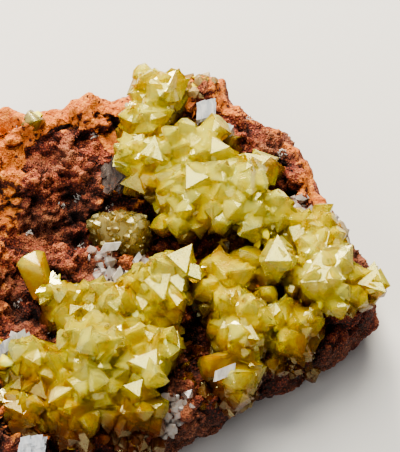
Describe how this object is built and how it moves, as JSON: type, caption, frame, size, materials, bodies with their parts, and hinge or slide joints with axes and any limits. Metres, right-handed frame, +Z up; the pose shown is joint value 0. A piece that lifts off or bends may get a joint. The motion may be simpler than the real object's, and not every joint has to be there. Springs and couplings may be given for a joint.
{
  "type": "adamite crystal specimen",
  "caption": "Loose mineral specimen: glassy yellow-green wedge crystals in rounded clusters on a lumpy red-brown limonite matrix with a flat broken back that it rests on.",
  "frame": {"origin": "middle of the bounding box's underside, on the flat back of the rock", "axes": "+Z up, out of the crystal-bearing face; -Y towards the low near edge; +X towards the pointed end with the right-hand crystals"},
  "size_m": [0.0688, 0.072, 0.0221],
  "materials": {
    "limonite": "matt granular iron oxide rock, salmon orange on the raised skin, red-brown to near black in the pits",
    "adamite": "glassy translucent yellow-green crystal faces, milky inside, amber at the roots",
    "grey_calcite": "grey-brown translucent cleavage plate",
    "white_calcite": "colourless to white glassy cleavage fragments"
  },
  "bodies": {
    "root": {"limonite_matrix": "limonite", "arching_crystals": "adamite", "lower_crystals": "adamite", "middle_crystals": "adamite", "lone_crystal": "adamite", "edge_crystal": "adamite", "grey_calcite": "grey_calcite", "white_calcite_back": "white_calcite", "white_calcite_rim": "white_calcite", "white_calcite_left": "white_calcite", "white_calcite_near": "white_calcite"}
  },
  "joints": []
}
